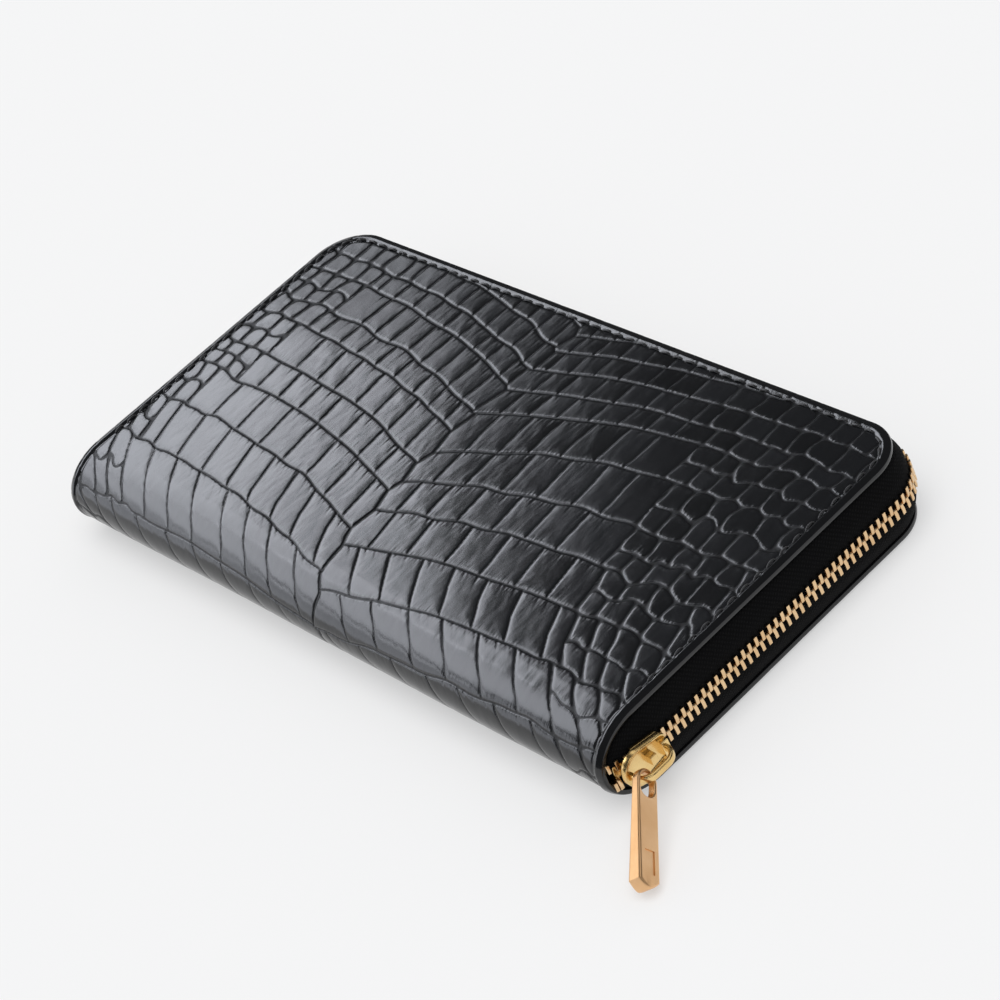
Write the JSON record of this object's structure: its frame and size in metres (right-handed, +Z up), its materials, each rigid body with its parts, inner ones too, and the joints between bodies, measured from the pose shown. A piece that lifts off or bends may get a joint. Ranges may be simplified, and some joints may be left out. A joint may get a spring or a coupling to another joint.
{
  "type": "zip around wallet",
  "caption": "Long zip around wallet with a soft rounded spine, stepped card pockets and a zipped coin pocket.",
  "frame": {"origin": "middle of the flat underside of the closed wallet", "axes": "+X along the spine, +Y from the spine to the far edge, +Z up through the closed wallet"},
  "size_m": [0.2194, 0.1151, 0.0205],
  "materials": {
    "croc_leather": "satin crocodile grain",
    "lining_leather": "smooth matt",
    "board": "plain",
    "foam": "felt",
    "thread": "waxed thread",
    "zip_tape": "woven",
    "zip_metal": "pale gold plate",
    "slider_metal": "polished gold plate",
    "tab_metal": "satin gold plate"
  },
  "bodies": {
    "lower_cover": {"lower_cover_skin": "croc_leather", "lower_stiffener": "board", "lower_filler": "foam", "lower_lining": "lining_leather", "lower_edge_stitching": "thread", "lower_zip_tape": "zip_tape", "lower_zip_teeth": "zip_metal", "lower_zip_stops": "zip_metal", "lower_card_base": "lining_leather", "lower_card_pocket_1": "lining_leather", "lower_card_pocket_2": "lining_leather", "lower_card_pocket_3": "lining_leather", "lower_card_pocket_4": "lining_leather", "lower_gusset_left": "lining_leather", "lower_gusset_right": "lining_leather"},
    "upper_cover": {"upper_cover_skin": "croc_leather", "upper_stiffener": "board", "upper_filler": "foam", "upper_lining": "lining_leather", "upper_edge_stitching": "thread", "upper_zip_tape": "zip_tape", "upper_zip_teeth": "zip_metal", "upper_zip_stops": "zip_metal", "upper_card_base": "lining_leather", "upper_card_pocket_1": "lining_leather", "upper_card_pocket_2": "lining_leather", "upper_card_pocket_3": "lining_leather", "upper_card_pocket_4": "lining_leather", "upper_gusset_left": "lining_leather", "upper_gusset_right": "lining_leather"},
    "spine": {"spine_skin": "croc_leather", "spine_lining": "lining_leather", "coin_pocket_lower_wall": "lining_leather", "coin_pocket_upper_wall": "lining_leather", "coin_pocket_binding": "lining_leather", "coin_zip_tapes": "zip_tape", "coin_zip_teeth": "zip_metal", "coin_zip_stops": "zip_metal"},
    "slider": {"slider_body": "slider_metal", "slider_bail": "slider_metal"},
    "pull_tab": {"pull_tab": "tab_metal"},
    "coin_slider": {"coin_slider_body": "slider_metal", "coin_slider_pin": "slider_metal"},
    "coin_pull_tab": {"coin_pull_tab": "tab_metal"}
  },
  "joints": [
    {"name": "spine_fold", "type": "hinge", "parent": "lower_cover", "child": "spine", "pos_m": [0, -0.0453, 0.0022], "axis": [1, 0, 0], "range_deg": [0, 30], "deforming": ["lower_gusset_left", "lower_gusset_right", "upper_gusset_left", "upper_gusset_right"]},
    {"name": "cover_fold", "type": "hinge", "parent": "spine", "child": "upper_cover", "pos_m": [0, -0.0453, 0.0183], "axis": [1, 0, 0], "range_deg": [0, 30]},
    {"name": "zip_slide", "type": "slide", "parent": "lower_cover", "child": "slider", "axis": [0, 1, 0], "range_m": [0, 0.066], "deforming": ["lower_zip_teeth", "upper_zip_teeth"]},
    {"name": "tab_swing", "type": "hinge", "parent": "slider", "child": "pull_tab", "pos_m": [0.10432, -0.04445, 0.01025], "axis": [-0.7826, -0.6225, 0], "range_deg": [0, 105]},
    {"name": "coin_zip_slide", "type": "slide", "parent": "spine", "child": "coin_slider", "axis": [1, 0, 0], "range_m": [0, 0.14], "deforming": ["coin_zip_teeth"]},
    {"name": "coin_tab_swing", "type": "hinge", "parent": "coin_slider", "child": "coin_pull_tab", "pos_m": [-0.0685, 0.0311, 0.01025], "axis": [0, 0, 1], "range_deg": [0, 75]}
  ],
  "couplings": [
    {"joint": "cover_fold", "follows": "spine_fold", "ratio": 1}
  ]
}
